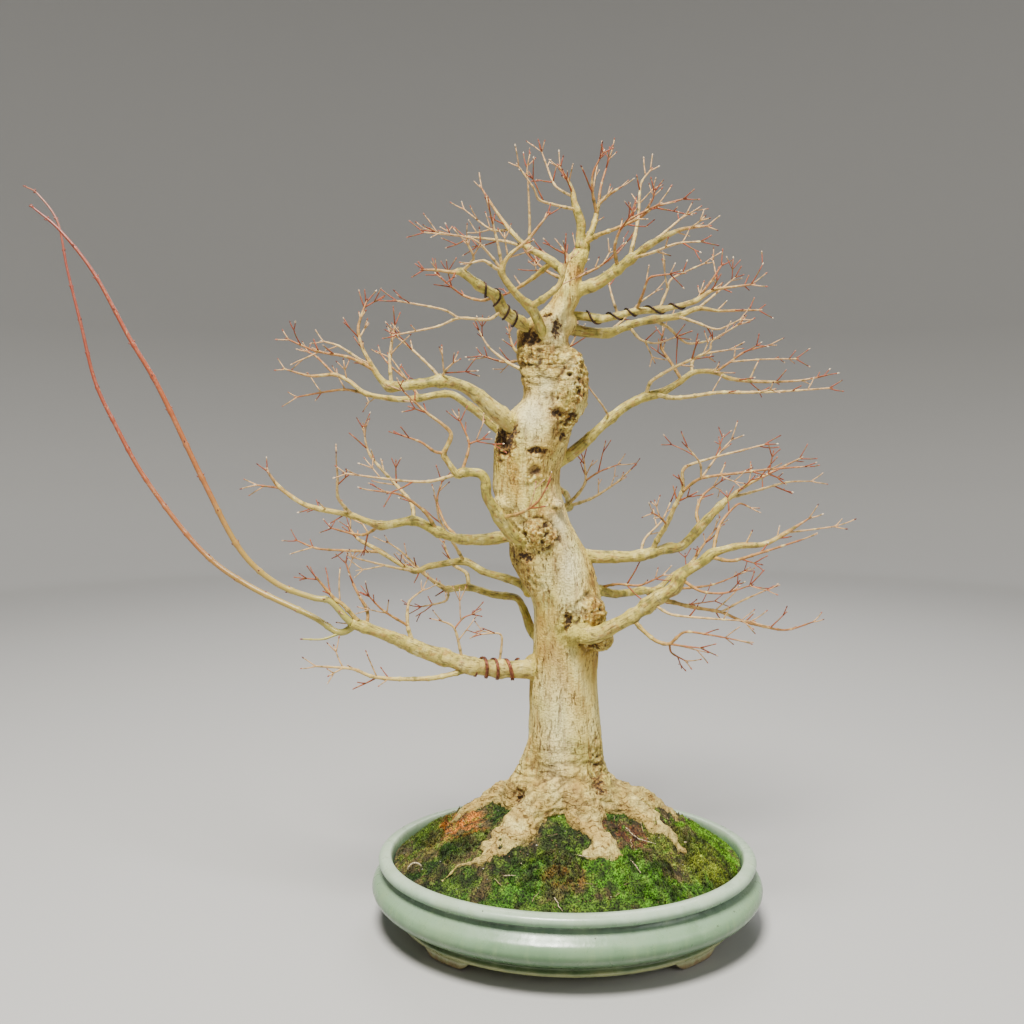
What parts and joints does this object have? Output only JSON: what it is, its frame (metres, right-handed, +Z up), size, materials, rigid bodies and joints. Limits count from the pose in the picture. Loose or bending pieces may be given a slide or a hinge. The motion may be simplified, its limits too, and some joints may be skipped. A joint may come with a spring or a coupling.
{
  "type": "bonsai tree in a pot",
  "caption": "Leafless winter maple bonsai: burled trunk on spreading surface roots, trained limbs and long shoots, in mossy soil in an oval celadon-glazed pot on low feet.",
  "frame": {"origin": "middle of the whole object's box in X and Y, on the ground under the pot's feet", "axes": "+X to the right when facing the tree's front, +Y to its back, +Z up"},
  "size_m": [0.8516, 0.33, 0.8183],
  "materials": {
    "glaze": "glossy celadon glaze",
    "soil": "damp granular soil",
    "screen": "matte",
    "bark": "fissured pale bark",
    "limb_bark": "smooth pale bark",
    "young_shoot": "smooth young bark",
    "moss": "soft moss",
    "copper_wire": "oxidised copper"
  },
  "bodies": {
    "root": {"pot": "glaze", "soil": "soil", "drain_screen_left": "screen", "drain_screen_right": "screen", "trunk_and_surface_roots": "bark", "moss_right": "moss", "moss_front_right": "moss", "moss_front": "moss", "moss_front_left": "moss", "moss_left": "moss", "moss_back_left": "moss", "moss_back_right": "moss", "low_left_limb": "limb_bark", "long_shoot_upper": "young_shoot", "long_shoot_lower": "young_shoot", "low_back_left_limb": "limb_bark", "back_left_limb": "limb_bark", "middle_left_limb": "limb_bark", "rising_left_limb": "limb_bark", "upper_left_limb": "limb_bark", "upper_left_back_limb": "limb_bark", "crown_left_limb": "limb_bark", "crown_front_limb": "limb_bark", "crown_back_left_limb": "limb_bark", "crown_leader": "limb_bark", "crown_right_limb": "limb_bark", "wired_right_front_limb": "limb_bark", "wired_right_back_limb": "limb_bark", "upper_right_limb": "limb_bark", "middle_right_limb": "limb_bark", "low_right_limb": "limb_bark", "low_back_right_limb": "limb_bark", "back_middle_limb": "limb_bark", "back_upper_limb": "limb_bark", "crown_back_limb": "limb_bark", "wire_low_left": "copper_wire", "wire_crown_left": "copper_wire", "wire_right_front": "copper_wire"}
  },
  "joints": []
}
